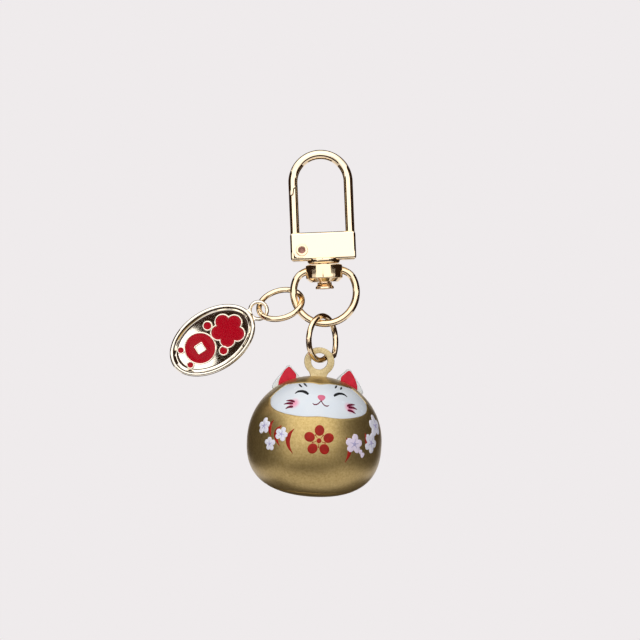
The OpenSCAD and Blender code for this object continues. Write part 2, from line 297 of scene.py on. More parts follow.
def fuse(obj, *others):
    return combine(obj, "UNION", others)


def soften(obj, width, segments=3, angle=30):
    m = obj.modifiers.new("soft edges", "BEVEL")
    m.width = width
    m.segments = segments
    m.limit_method = "ANGLE"
    m.angle_limit = rad(angle)
    m.miter_outer = "MITER_ARC"
    return settle(obj)


def joined(obj, *others):
    bm = bmesh.new()
    bm.from_mesh(obj.data)
    for other in others:
        bm.from_mesh(other.data)
        bpy.data.objects.remove(other)
    bm.to_mesh(obj.data)
    bm.free()
    return obj


def finish_piece(obj, name, where, material, body, node=None, sharp=40):
    """Puts a piece made in millimetres into the row frame, shades it and hands it to its body."""
    obj.name = name
    obj.data.name = name
    obj.data.transform(Matrix.Scale(MM, 4) @ where)
    obj.data.shade_smooth()
    obj.data.set_sharp_from_angle(angle=rad(sharp))
    obj.data.materials.clear()
    obj.data.materials.append(material)
    for poly in obj.data.polygons:
        poly.material_index = 0
    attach(obj, body)
    if node:
        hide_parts(node)
    return obj


def taper(share, power):
    return max(0.0, 1 - abs(share) ** power) ** (1 / power)


def doll_radius(z, inset=0.0):
    if z < WAIST:
        return (DOLL_R - inset) * taper((WAIST - z) / (BOWL - inset), 2.6)
    return (DOLL_R - inset) * taper((z - WAIST) / (CROWN - inset), 2.05)


def doll_slope(z):
    """How fast the doll's radius grows with height."""
    return (doll_radius(z + 0.01) - doll_radius(z - 0.01)) / 0.02


# ---- materials


def srgb(r, g, b):
    """A screen colour as the shader's linear one."""
    return tuple(
        ((c / 255 + 0.055) / 1.055) ** 2.4 if c > 10 else c / 255 / 12.92 for c in (r, g, b)
    ) + (1,)


class Shader:
    """One procedural material and short ways to add nodes to it."""

    def __init__(self, name, color, metallic=0.0, roughness=0.3, coat=0.0):
        self.material = bpy.data.materials.new(name)
        self.material.use_nodes = True
        self.nodes = self.material.node_tree.nodes
        self.links = self.material.node_tree.links
        self.bsdf = self.nodes["Principled BSDF"]
        for key, value in (
            ("Base Color", color), ("Metallic", metallic), ("Roughness", roughness),
            ("Coat Weight", coat), ("Coat Roughness", 0.06),
        ):
            self.bsdf.inputs[key].default_value = value
        self.coords = self.nodes.new("ShaderNodeTexCoord")

    def feed(self, socket, value):
        """Links another node's output to a socket, or sets a constant on it."""
        if isinstance(value, bpy.types.NodeSocket):
            self.links.new(value, socket)
        else:
            socket.default_value = value

    def add(self, kind, **inputs):
        node = self.nodes.new("ShaderNode" + kind)
        for name, value in inputs.items():
            self.feed(node.inputs[name.replace("_", " ")], value)
        return node

    def noise(self, scale, detail=3.0, roughness=0.5):
        place = self.coords.outputs["Object"]
        n = self.add("TexNoise", Scale=scale, Detail=detail, Roughness=roughness, Vector=place)
        return n.outputs["Fac"]

    def spread(self, value, low, high):
        """Maps the middle of a noise onto low to high."""
        n = self.add("MapRange", From_Min=0.3, From_Max=0.7, To_Min=low, To_Max=high, Value=value)
        return n.outputs["Result"]

    def mix(self, factor, a, b):
        n = self.nodes.new("ShaderNodeMix")
        n.data_type = "RGBA"
        for key, value in (("A", a), ("B", b)):
            socket = [s for s in n.inputs if s.name == key and s.type == "RGBA"][0]
            self.feed(socket, value)
        self.links.new(factor, n.inputs["Factor"])
        return [s for s in n.outputs if s.type == "RGBA"][0]

    def bump(self, *layers):
        """Each layer is (height value, strength, distance in metres)."""
        normal = None
        for height, strength, distance in layers:
            n = self.add("Bump", Strength=strength, Distance=distance, Height=height)
            if normal:
                self.links.new(normal, n.inputs["Normal"])
            normal = n.outputs["Normal"]
        self.links.new(normal, self.bsdf.inputs["Normal"])

    def color(self, socket):
        self.links.new(socket, self.bsdf.inputs["Base Color"])

    def roughness(self, socket):
        self.links.new(socket, self.bsdf.inputs["Roughness"])


def plated_gold(name, color=srgb(250, 230, 196), roughness=0.045):
    s = Shader(name, color, 1.0, roughness)
    s.roughness(s.spread(s.noise(900, 4), roughness * 0.7, roughness * 1.5))
    s.bump((s.noise(300, 2), 0.10, 0.00003), (s.noise(5200, 2), 0.04, 0.00001))
    return s.material


def satin_gold():
    s = Shader("doll satin gold", srgb(196, 168, 92), 0.88, 0.3, 0.25)
    s.bsdf.inputs["Coat Roughness"].default_value = 0.3
    grain = s.spread(s.noise(2400, 4, 0.65), 0, 1)
    s.color(s.mix(grain, srgb(170, 144, 86), srgb(198, 174, 116)))
    s.roughness(s.spread(s.noise(1800, 3), 0.36, 0.42))
    s.bump((s.noise(260, 2), 0.10, 0.00005), (s.noise(5200, 2, 0.7), 0.22, 0.000012))
    return s.material


def sanded_gold():
    s = Shader("eyelet sanded gold", srgb(218, 198, 150), 0.75, 0.42, 0.2)
    grain = s.spread(s.noise(3000, 3, 0.6), 0, 1)
    s.color(s.mix(grain, srgb(194, 174, 124), srgb(218, 200, 154)))
    s.bump((s.noise(4200, 2, 0.6), 0.2, 0.000015),)
    return s.material


def gloss_paint(name, color, roughness=0.35, specular=0.35, variation=0.12):
    """Brushed or sprayed paint; the colour drifts a little darker and lighter."""
    s = Shader(name, color, 0.0, roughness)
    s.bsdf.inputs["Specular IOR Level"].default_value = specular
    low = tuple(c * (1 - variation) for c in color[:3]) + (1,)
    high = tuple(min(1, c * (1 + variation)) for c in color[:3]) + (1,)
    s.color(s.mix(s.spread(s.noise(900, 4, 0.6), 0, 1), low, high))
    s.roughness(s.spread(s.noise(1500, 3), roughness * 0.85, roughness * 1.2))
    s.bump((s.noise(600, 2), 0.12, 0.00004), (s.noise(4000, 2), 0.08, 0.00001))
    return s.material


hook_gold = plated_gold("hook pale gold plating")
ring_gold = plated_gold("ring pale gold plating", srgb(248, 224, 186), 0.1)
tag_gold = plated_gold("tag pale gold plating", srgb(250, 242, 224), 0.03)
doll_gold = satin_gold()
eyelet_gold = sanded_gold()
white_paint = gloss_paint("white ear paint", srgb(222, 228, 230), 0.3, 0.4, 0.03)
ear_red = gloss_paint("ear red paint", srgb(204, 30, 54), 0.45, 0.2, 0.15)
brush_black = gloss_paint("brush black", srgb(20, 22, 26), 0.5, 0.15)
whisker_red = gloss_paint("whisker crimson", srgb(104, 12, 48), 0.5, 0.15)
petal_white = gloss_paint("petal white", srgb(226, 227, 238), 0.5, 0.2, 0.06)
tag_red = gloss_paint("tag red enamel", srgb(174, 8, 30), 0.12, 0.12, 0.06)
spring_steel = plated_gold("spring steel", srgb(176, 176, 180), 0.2)
pellet_steel = plated_gold("pellet steel", srgb(168, 168, 172), 0.3)
# Dark paint for painted shade on the jump ring's raised cut end
wire_end_shade_paint = plated_gold("painted shade at the wire end", srgb(84, 66, 56), 0.35)
# Pinkish brown paint for painted shade in the pin heads' dimples
dimple_shade_paint = gloss_paint("painted shade in the pin dimples", srgb(172, 122, 108), 0.4, 0.4)
# Dark brown paint for painted shade: the shadow in the nose joint and the dark lines round the
# tag's rim and field
painted_shade_metal = gloss_paint("painted shade in the joint and grooves", srgb(58, 38, 26), 0.55, 0.2)
pin_gold = plated_gold("stud pale gold plating", srgb(247, 220, 186), 0.1)
robe_red = gloss_paint("robe folds red", srgb(156, 28, 16), 0.5, 0.2, 0.2)
nose_pink = gloss_paint("nose pink", srgb(210, 108, 136), 0.45, 0.2, 0.08)
petal_pink = gloss_paint("petal pinkish white", srgb(226, 216, 234), 0.5, 0.2, 0.08)
heart_violet = gloss_paint("blossom heart violet", srgb(176, 172, 208), 0.5, 0.2, 0.1)


def face_enamel_paint():
    """Cool white enamel with soft pink cheeks."""
    s = Shader("face white enamel", srgb(206, 216, 224), 0.0, 0.3)
    s.bsdf.inputs["Specular IOR Level"].default_value = 0.35
    color = s.mix(s.spread(s.noise(260, 2), 0, 1), srgb(212, 221, 229), srgb(217, 224, 229))
    for x, z in ((-5.15, 18.4), (5.75, 18.15)):
        y = -math.sqrt(doll_radius(z) ** 2 - x * x)
        spot = (doll_at @ Vector((x, y, z))) * MM
        away = s.add("VectorMath")
        away.operation = "DISTANCE"
        away.inputs[1].default_value = spot
        s.links.new(s.coords.outputs["Object"], away.inputs[0])
        fade = s.add("MapRange", From_Min=0.0002, From_Max=0.0016, To_Min=0.75, To_Max=0.0)
        fade.interpolation_type = "SMOOTHERSTEP"
        s.links.new(away.outputs["Value"], fade.inputs["Value"])
        color = s.mix(fade.outputs["Result"], color, srgb(236, 120, 160))
    s.color(color)
    s.roughness(s.spread(s.noise(1200, 3), 0.2, 0.28))
    s.bump((s.noise(260, 2), 0.12, 0.00005),)
    return s.material


face_paint = face_enamel_paint()

for material, nodes in (
    (hook_gold, ("hook_frame", "gate", "gate_pin", "swivel_rivet")),
    (ring_gold, ("swivel_ring", "doll_jump_ring", "tag_jump_ring")),
    (doll_gold, ("bell_shell", "bell_base")),
    (white_paint, ("left_ear", "right_ear")),
    (spring_steel, ("gate_spring",)), (eyelet_gold, ("eyelet",)), (ear_red, ("inner_ears",)),
    (face_paint, ("face_enamel",)), (pellet_steel, ("pellet",)),
    (tag_gold, ("tag_plate",)), (tag_red, ("tag_enamel",)),
):
    for node in nodes:
        slots = frame["nodes"][node].data.materials
        slots.clear()
        slots.append(material)

# ---- camera

LEAN = rad(2.3)
cam_data = bpy.data.cameras.new("camera")
cam_data.sensor_fit = "HORIZONTAL"
cam_data.angle = 2 * math.atan(64 / 200)
cam_data.clip_start = 0.005
cam_data.clip_end = 5
camera = link(cam_data, "camera")
right = Vector((math.cos(LEAN), 0, -math.sin(LEAN)))
up = Vector((math.sin(LEAN), 0, math.cos(LEAN)))
back = Vector((0, -1, 0))
turn = Matrix((right, up, back)).transposed().to_4x4()
camera.matrix_world = Matrix.Translation(Vector((-1.21, -200, -32.14)) * MM) @ turn
bpy.context.scene.camera = camera

# ---- lights and stage

PAPER = srgb(239, 235, 236)


def glow(name, color):
    """A surface that only shines, evenly."""
    m = bpy.data.materials.new(name)
    m.use_nodes = True
    b = m.node_tree.nodes["Principled BSDF"]
    b.inputs["Base Color"].default_value = (0, 0, 0, 1)
    b.inputs["Specular IOR Level"].default_value = 0
    b.inputs["Emission Color"].default_value = color
    b.inputs["Emission Strength"].default_value = 1.0
    return m


def board(name, material, corners, seen=False):
    """A flat studio board given by its corners in millimetres; only mirrors see an unseen one."""
    obj = from_data(name, [Vector(c) * MM for c in corners], [tuple(range(len(corners)))])
    obj.data.materials.append(material)
    obj.visible_camera = seen


def level_board(name, material, corners, z, seen=False):
    board(name, material, [(x, y, z) for x, y in corners], seen)


def softbox(name, centre, size, facing, radiance, color=(1, 1, 1)):
    """An area light in millimetres; radiance is what a mirror would show."""
    data = bpy.data.lights.new(name, "AREA")
    data.shape = "RECTANGLE"
    data.size = size[0] * MM
    data.size_y = size[1] * MM
    data.energy = radiance * math.pi * size[0] * size[1] * MM * MM
    data.color = color
    obj = link(data, name)
    obj.matrix_world = (
        Matrix.Translation(Vector(centre) * MM)
        @ (Vector(centre) - Vector(facing)).to_track_quat("Z", "Y").to_matrix().to_4x4()
    )


dark = glow("dark flag", (0.026, 0.014, 0.009, 1))
level_board("floor", glow("floor paper", PAPER), [
    (-800, -800), (800, -800), (800, 800), (-800, 800),
], -250, True)
board("left flag", dark, [(-300, y, z) for y, z in (
    (-250, -210), (290, -210), (700, -120), (700, 200), (-250, 150),
    (-250, -10), (-50, -12), (-50, -35), (-250, -70),
)])
board("right flag", dark, [(300, y, z) for y, z in (
    (-400, -250), (330, -250), (700, -120), (700, 230), (-340, 200),
    (-340, -10), (-105, -12), (-105, -35), (-400, -70),
)])
level_board("front floor flag", dark, [(-330, -640), (330, -640), (330, -230), (-330, -140)], -240)
level_board("rear floor flag", dark, [(-170, 0), (170, 70), (170, 500), (-170, 500)], -240)
level_board("rear top flag", dark, [(-420, 60), (420, 60), (420, 700), (-420, 700)], 260)
board("tag flag", dark, [(x, -415, z) for x, z in (
    (-84, -22), (-62, -60), (-36, -52), (-32, -14), (-60, -12),
)])
softbox("front softbox", (0, -420, 210), (1300, 600), (0, 0, 120), 0.75, (1, 0.99, 0.96))
softbox("top softbox", (-60, -40, 380), (700, 600), (0, 0, 0), 0.7)

world = bpy.data.worlds.new("studio")
world.use_nodes = True
sky = world.node_tree.nodes["Background"].inputs
sky["Color"].default_value = PAPER
sky["Strength"].default_value = 1.0
bpy.context.scene.world = world
bpy.context.scene.view_settings.view_transform = "Standard"

# ---- snap hook


def box_tool(low, high):
    (x0, y0, z0), (x1, y1, z1) = low, high
    corners = [(x, y, z) for x in (x0, x1) for y in (y0, y1) for z in (z0, z1)]
    faces = [(0, 1, 3, 2), (4, 6, 7, 5), (0, 4, 5, 1), (2, 3, 7, 6), (0, 2, 6, 4), (1, 5, 7, 3)]
    return from_data("tool", corners, faces)


def rod_tool(radius, low, high, steps=48):
    return lathe("tool", [(0, low), (radius, low), (radius, high), (0, high)], steps)


def across(obj, x, z):
    """Turns a lathed shape so that its axis runs front to back through a point."""
    return turned(obj, "X", rad(-90), (x, 0, z))


def corner(centre, radius, a0, a1, steps=5):
    """Points of a rounded corner in a lathe profile, in degrees."""
    return [(p.x, p.z) for p in arc(centre, radius, a0, a1, steps)]


# Bow and right leg, with the half-round tongue at the nose
bow = tube(
    "bow",
    [Vector((-BOW_R, 0, NOSE_LOW))]
    + arc((0, BOW_Z), BOW_R, 180, 0, 72)
    + [Vector((BOW_R, 0, BLOCK_TOP - 1))],
    BAR_R, 48,
)


def nose_tool(gap, top):
    """All that lies between a height and the slanted, stepped joint of bow and gate."""
    joint = [(-2.4, -4.2), (-4.55, -5.02), (-5.22, -5.42)]
    joint += [(-5.42, -6.62), (-6.35, -7.02), (-8.5, -7.5)]
    outline = [(x - gap, z + gap) for x, z in joint] + [(-8.5, top), (-2.4, top)]
    tool = prism("tool", outline, -2, 2)
    for v in tool.data.vertices:
        v.co.x += 0.2 * v.co.y
        v.co.z += 0.42 * v.co.y
    return tool


cut(bow, nose_tool(NOSE_GAP, -10))
soften(bow, 0.04, 3, 40)

block = box_tool(
    (-BLOCK_W / 2, -BLOCK_T / 2, BLOCK_BOTTOM), (BLOCK_W / 2, BLOCK_T / 2, BLOCK_TOP)
)
soften(block, 0.62, 8)
boss = lathe("boss", [
    (0, BLOCK_BOTTOM + 0.4), (BOSS_R, BLOCK_BOTTOM + 0.4), (BOSS_R, BLOCK_BOTTOM),
    (BOSS_R - 0.05, BLOCK_BOTTOM - 0.2), (BOSS_R - 0.18, BLOCK_BOTTOM - BOSS_H + 0.08),
    (BOSS_R - 0.3, BLOCK_BOTTOM - BOSS_H), (0, BLOCK_BOTTOM - BOSS_H),
])
fuse(block, boss)
gate_slot = box_tool(
    (-BLOCK_W, -SLOT_W / 2, BLOCK_BOTTOM + 0.85), (SLOT_RIGHT, SLOT_W / 2, BLOCK_TOP + 1)
)
spring_bore = turned(rod_tool(0.85, SLOT_RIGHT - 1, 0.3), "Y", rad(90), (0, 0, SPRING_Z))
head_seats = [across(rod_tool(1.35, side * 2.05, side * 3), PIN.x, PIN.z) for side in (-1, 1)]
pin_bore = across(rod_tool(PIN_R + 0.005, -3, 3), PIN.x, PIN.z)
cut(block, gate_slot, spring_bore, pin_bore, *head_seats)
fuse(block, bow)
finish_piece(block, "snap_hook_casting", here, hook_gold, "hook", "hook_frame", 35)

# Dark face on the bow's nose: painted shade standing in for the shadow in the joint's gap, drawn as
# its dark line
nose_shade_face = moved(rod_tool(BAR_R - 0.015, NOSE_LOW - 0.15, GATE_TOP + 0.3), (-BOW_R, 0, 0))
cut(nose_shade_face, nose_tool(-0.03, -10), nose_tool(0.12, -2))
finish_piece(nose_shade_face, "bow_nose_painted_shade", here, painted_shade_metal, "hook", None, 35)

# Gate: round bar, lapped tip, flat tab on the pin
gate = tube("gate bar", [(-BOW_R, 0, BLOCK_TOP - 1.4), (-BOW_R, 0, GATE_TOP)], BAR_R, 48)
cut(gate, nose_tool(-NOSE_GAP, -2))
soften(gate, 0.07, 3, 40)
tab = box_tool((-BOW_R - BAR_R + 0.02, -0.92, PIN.z - 0.7), (-3.6, 0.92, SPRING_Z + 0.9))
soften(tab, 0.08, 2)
hub = across(rod_tool(1.1, -BAR_R, BAR_R), PIN.x, PIN.z)
soften(hub, 0.06, 2)
fuse(tab, hub, gate)
cut(tab, across(rod_tool(PIN_R + 0.06, -2, 2), PIN.x, PIN.z))
finish_piece(tab, "gate_bar", here, hook_gold, "gate", "gate", 35)

# Gate pin: two dimpled heads on one shank
half_pin = (
    [(0, 1.85), (0.3, 1.88), (0.52, 2.1), (0.69, 2.31)] + corner((0.8, 2.27), 0.08, 120, 90, 2)
    + corner((1.08, 2.23), 0.12, 90, 0) + [(1.2, 2.07), (PIN_R, 2.07)]
)
pin = lathe("pin", half_pin + [(r, -z) for r, z in reversed(half_pin)], 64)
across(pin, PIN.x, PIN.z)
finish_piece(pin, "gate_pin_riveted", here, pin_gold, "hook", "gate_pin", 50)

# Painted shade in the punched dimples of the two heads: a pinkish brown in place of the plating's
# mirror
dimple = [(0, 1.8), (0.36, 1.83), (0.56, 2.05), (0.71, 2.25)]
dimple += [(0.66, 2.29), (0.5, 2.12), (0.28, 1.93), (0, 1.9)]
for side, end in ((1, "back"), (-1, "front")):
    cup = across(lathe("cup", [(r, side * z) for r, z in dimple], 48), PIN.x, PIN.z)
    finish_piece(cup, "pin_dimple_" + end, here, dimple_shade_paint, "hook", None, 50)

# Coil spring in its bore, on the gate's tab
coil_steps = COIL_TURNS * 28
coil = []
for i in range(coil_steps + 1):
    a = 2 * math.pi * COIL_TURNS * i / coil_steps
    coil.append(Vector((
        -3.45 + 3.6 * i / coil_steps, COIL_R * math.cos(a), SPRING_Z + COIL_R * math.sin(a)
    )))
spring = tube("spring", coil, 0.125, 12)
finish_piece(
    spring, "gate_coil_spring", here, spring_steel, "hook", "gate_spring", 60
)
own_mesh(spring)

# ---- swivel

rivet = lathe(
    "rivet",
    [(0, -17.7), (RIVET_R, -17.7), (RIVET_R, -24.68), (1.45, -24.71), (1.45, -25.06)]
    + [(1.5, -25.14), (1.66, -25.34), (1.8, -25.5)]
    + corner((1.73, -25.66), 0.12, 30, 0, 2) + corner((1.73, -25.88), 0.12, 0, -90)
    + [(1.2, -26.0), (1.08, -25.96), (0.85, -25.78), (0.5, -25.68), (0, -25.64)],
)
finish_piece(rivet, "swivel_stud", here, pin_gold, "hook", "swivel_rivet", 40)

collar = lathe(
    "collar",
    corner((COLLAR_R - 0.28, COLLAR_TOP - 0.28), 0.28, 90, 0)
    + [(COLLAR_R, COLLAR_TOP - 1.1), (COLLAR_R, COLLAR_BOTTOM + 1.1)]
    + corner((COLLAR_R - 0.3, COLLAR_BOTTOM + 0.3), 0.3, 0, -50)
    + corner((2.7, COLLAR_BOTTOM - 0.35), 0.25, -40, -90)
    + [(1.4, COLLAR_BOTTOM - 0.6), (RIVET_R + 0.08, COLLAR_BOTTOM - 0.45)]
    + [(RIVET_R + 0.08, COLLAR_TOP - 0.15), (1.4, COLLAR_TOP)],
    96, closed=True,
)
reach = RING_R - SHOULDER_R
shoulder = Vector((reach * math.cos(SHOULDER_A), 0, reach * math.sin(SHOULDER_A)))
bend = math.degrees(SHOULDER_A)
right_bend = arc((shoulder.x, RING_CENTRE.z + shoulder.z), SHOULDER_R, 84, bend, 16)
around = arc((0, RING_CENTRE.z), RING_R, bend, -180 - bend, 110)
left_bend = arc((-shoulder.x, RING_CENTRE.z + shoulder.z), SHOULDER_R, 180 - bend, 96, 16)
loop_path = right_bend + around[1:-1] + left_bend
root = Vector((3.3, 0, RING_CENTRE.z + 4.28))
loop_radii = []
for p in loop_path:
    near = max(0.0, 1 - (Vector((abs(p.x), 0, p.z)) - root).length / 1.3)
    loop_radii.append(RING_BAR_R + 0.1 * near * near)
loop = tube("loop", loop_path, loop_radii, 40)
fuse(collar, loop)
finish_piece(collar, "swivel_loop", here, ring_gold, "swivel", "swivel_ring", 35)

# ---- jump rings


def jump_ring(name, cut_at, where, body, node, twist=0.0):
    """Round wire ring with a saw cut; twist is how far one end stands off sideways."""
    edge = 0.07
    start, stop = cut_at + 1, cut_at + 359
    step = math.degrees(edge / LINK_R)
    path = arc((0, 0), LINK_R, start, stop, 120)
    path.insert(1, arc((0, 0), LINK_R, start + step, stop, 1)[0])
    path.insert(-1, arc((0, 0), LINK_R, start, stop - step, 1)[1])
    for i, p in enumerate(path):
        p.y -= twist * max(0.0, 1 - i / 42) ** 2
    radii = [WIRE_R - edge] + [WIRE_R] * (len(path) - 2) + [WIRE_R - edge]
    ring = tube(name, path, radii, 36)
    finish_piece(ring, name, where, ring_gold, body, node, 50)
    if twist:
        # A dark cap on the raised cut end: painted shade where that end lies in shadow
        out = (path[0] - path[1]).normalized()
        tip = tube("tip", [path[0] + out * t for t in (-0.05, 0.15, 0.32)], [0.48, 0.48, 0.36], 24)
        finish_piece(tip, name + "_shaded_end", where, wire_end_shade_paint, body, None, 50)


jump_ring("doll_split_link", -52, doll_ring_at, "doll_link", "doll_jump_ring", 1.45)
jump_ring("tag_split_link", 206, tag_ring_at, "tag_link", "tag_jump_ring")

# ---- doll: surface


def doll_profile(inset, low):
    """Dense (radius, height) points of the outline from a height up to the crown."""
    out = []
    start = math.acos(min(1.0, ((WAIST - low) / (BOWL - inset)) ** 1.3))
    for i in range(240):
        a = start + (math.pi / 2 - start) * i / 240
        z = WAIST - (BOWL - inset) * max(0.0, math.cos(a)) ** (2 / 2.6)
        out.append((doll_radius(z, inset), z))
    for i in range(241):
        z = WAIST + (CROWN - inset) * math.sin(math.pi / 2 * i / 240) ** (2 / 2.05)
        out.append((doll_radius(z, inset) if i < 240 else 0.0, z))
    return out


def resample(points, spacing):
    """Points spaced along a dense outline by a spacing that depends on the height."""
    out = [points[0]]
    run = 0.0
    for a, b in zip(points, points[1:]):
        run += math.dist(a, b)
        if run >= spacing(b[1]):
            out.append(b)
            run = 0.0
    if out[-1] != points[-1]:
        out.append(points[-1])
    return out


def skin(azimuth, z, lift=0.0):
    """Point on the doll at an azimuth from the front towards +X, lifted along the normal."""
    z = min(z, DOLL_H - 0.02)
    r = doll_radius(z)
    n = Vector((math.sin(azimuth), -math.cos(azimuth), -doll_slope(z))).normalized()
    return Vector((r * math.sin(azimuth), -r * math.cos(azimuth), z)) + n * lift


FACE_W = 9.5
FACE_Z = 18.2
FACE_UP = 4.1
FACE_DOWN = 2.05


def face_level(x, z):
    """1 on the face's outline, less inside it."""
    up = z + 0.2 * math.exp(-x * x) - FACE_Z
    if up > 0:
        return ((abs(x) / FACE_W) ** 2.3 + (up / FACE_UP) ** 2.3) ** (1 / 2.3)
    down = FACE_Z + 0.28 * math.exp(-((x / 2.4) ** 2)) - z
    return ((abs(x) / FACE_W) ** 3.1 + (max(0.0, down) / FACE_DOWN) ** 3.1) ** (1 / 3.1)


def face_distance(azimuth, z):
    """Distance along the surface to the face's outline, less than 0 inside it."""
    def level(da, dz):
        p = skin(azimuth + da, z + dz)
        return face_level(p.x, p.z)

    e = 0.004
    du = (level(e, 0) - level(-e, 0)) / (2 * e * max(doll_radius(z), 0.5))
    dv = (level(0, e) - level(0, -e)) / (2 * e * math.hypot(1, doll_slope(z)))
    return (level(0, 0) - 1) / max(math.hypot(du, dv), 0.02)


def ease(x, low, high):
    t = min(1.0, max(0.0, (x - low) / (high - low)))
    return t * t * (3 - 2 * t)


# Gold shell: fine grid round the face, where a soft-edged recess takes the enamel
azimuths = []
a = -180.0
while a < 179.99:
    azimuths.append(a)
    a += 0.6 if -66.5 < a < 66 else 3.0
outer = resample(doll_profile(0, SEAM), lambda z: 0.13 if 14.9 < z < 22.8 else 0.6)
outer = [p for p in outer if p[0] > 0.15]
inner = resample(doll_profile(WALL, SEAM), lambda z: 0.9)
inner = [p for p in inner if p[0] > 0.3]
foot = outer[0][0]


def shell_point(r, z, azimuth, recessed):
    turn = rad(azimuth)
    depth = 0.0
    if recessed and 14.9 < z < 23.0 and abs(azimuth) < 66:
        depth = POCKET * ease(-face_distance(turn, z), -0.3, 0.5)
    if depth:
        return skin(turn, z, -depth)
    return Vector((r * math.sin(turn), -r * math.cos(turn), z))


verts, stacks = [], []
lips = [(foot - 0.35, SEAM + 0.05), (foot - 0.12, SEAM + 0.03), (foot - 0.02, SEAM + 0.08)]
for profile, top, recessed in (
    (lips + outer[1:], DOLL_H, True),
    ([(foot - WALL, SEAM + 0.05)] + inner[1:], DOLL_H - WALL, False),
):
    rows = []
    for r, z in profile:
        rows.append(list(range(len(verts), len(verts) + len(azimuths))))
        verts += [shell_point(r, z, azimuth, recessed) for azimuth in azimuths]
    rows.append([len(verts)])
    verts.append(Vector((0, 0, top)))
    stacks.append(rows)
faces = bridge(stacks[0]) + bridge(stacks[1]) + bridge([stacks[1][0], stacks[0][0]])
shell = from_data("shell", verts, faces)
finish_piece(shell, "bell_upper_shell", doll_at, doll_gold, "doll", "bell_shell", 60)

# Bottom pan with its lip, slot and slot holes
wall_line = [(doll_radius((SEAM - 0.1) * i / 24), (SEAM - 0.1) * i / 24) for i in range(25)]
low_r, high_r = wall_line[0][0], wall_line[-1][0]
pan = lathe(
    "pan",
    [(0, 0), (low_r - 0.25, 0), (low_r - 0.02, 0.02)] + wall_line[2:]
    + [(high_r + 0.07, SEAM - 0.06), (high_r + 0.03, SEAM + 0.01), (high_r - 0.1, SEAM + 0.02)]
    + [(7.35, SEAM + 0.02), (7.35, SEAM + 1.3), (6.85, SEAM + 1.3)]
    + [(6.85, WALL + 0.1), (6.5, WALL), (0, WALL)],
    160,
)
slit = box_tool((-5.4, -0.65, -1), (5.4, 0.65, 1.15))
cut(pan, slit, *(moved(rod_tool(1.1, -1, 1.2), (x, 0, 0)) for x in (-5.4, 5.4)))
finish_piece(pan, "bell_bottom_pan", doll_at, doll_gold, "doll", "bell_base", 35)

# Eyelet: flat cast ring with a flared neck
ring_outline = [
    (EYELET_R * x, EYELET_Z - 0.05 + 2.84 * z) for x, z in corner((0, 0), 1, -50, 230, 60)
]
neck_top = ring_outline[0][1]
neck_side = []
for i in range(1, 9):
    t = i / 8
    half = 1.93 - 0.38 * math.sin(math.pi * min(1, t * 1.2) * 0.5) + 0.55 * t ** 5
    neck_side.append((half, neck_top + (22.7 - neck_top) * t))
outline = ring_outline + [(-x, z) for x, z in neck_side] + neck_side[::-1]
eye = prism("eyelet", outline, -EYELET_T / 2, EYELET_T / 2)
cut(eye, across(rod_tool(EYELET_HOLE, -2, 2, 64), 0, EYELET_Z))
soften(eye, 0.4, 5, 50)
moved(eye, (-0.12, 0, 0))
finish_piece(eye, "cast_eyelet", doll_at, eyelet_gold, "doll", "eyelet", 60)

# ---- doll: ears


def crown_solid(inset):
    profile = resample(doll_profile(inset, 4), lambda z: 0.5)
    return lathe("tool", [(0, 4)] + [p for p in profile if p[0] > 0.2] + [(0, DOLL_H - inset)], 128)


def ear_outline(grow=0.0):
    """Leaning triangle with a rounded tip and slightly bowed sides."""
    tip = corner((6.05, 24.4), 0.55, 150, 10, 7)
    right_side = [
        (6.95 + 2.35 * t + 0.22 * math.sin(math.pi * t), 23.9 - 3.5 * t)
        for t in (0.0, 0.2, 0.4, 0.6, 0.8, 1.0)
    ]
    left_side = [
        (3.45 + 1.75 * t - 0.12 * math.sin(math.pi * t), 22.4 + 1.9 * t)
        for t in (0.0, 0.25, 0.5, 0.75, 0.95)
    ]
    return tip + right_side + [(8.25, 19.4)] + left_side


def panel_outline():
    return [
        (6.3, 24.67), (6.05, 24.75), (5.78, 24.65), (5.2, 24.1), (4.6, 23.45), (4.5, 23.2),
        (4.45, 22.0), (7.95, 20.8), (7.95, 21.6), (7.75, 22.3), (7.45, 23.0), (6.9, 24.0),
    ]


for side, node, name in ((-1, "left_ear", "ear_left"), (1, "right_ear", "ear_right")):
    outline = [(side * x, z) for x, z in ear_outline()]
    ear = prism(name, outline, 0.5, 2.7)
    soften(ear, 0.28, 4, 25)
    panel_cut = prism("tool", [(side * x, z) for x, z in panel_outline()], 0, 0.75)
    cut(ear, crown_solid(0.12), panel_cut)
    finish_piece(ear, name, doll_at, white_paint, "doll", node, 40)
panels = None
for side in (-1, 1):
    panel = prism("panel", [(side * x, z) for x, z in panel_outline()], 0.52, 0.8)
    soften(panel, 0.08, 3, 50)
    cut(panel, crown_solid(0.12))
    panels = panel if panels is None else joined(panels, panel)
finish_piece(panels, "ear_panels", doll_at, ear_red, "doll", "inner_ears", 50)

# ---- doll: face


def face_edge(angle):
    side, rise = math.cos(angle), math.sin(angle)
    power = 2.3 if rise >= 0 else 3.1
    x = FACE_W * math.copysign(abs(side) ** (2 / power), side)
    z = abs(rise) ** (2 / power)
    if rise >= 0:
        return x, FACE_Z + FACE_UP * z - 0.2 * math.exp(-x * x)
    return x, FACE_Z + 0.28 * math.exp(-((x / 2.4) ** 2)) - FACE_DOWN * z


def on_front(x, z, lift):
    return skin(math.asin(max(-0.995, min(0.995, x / doll_radius(z)))), z, lift)


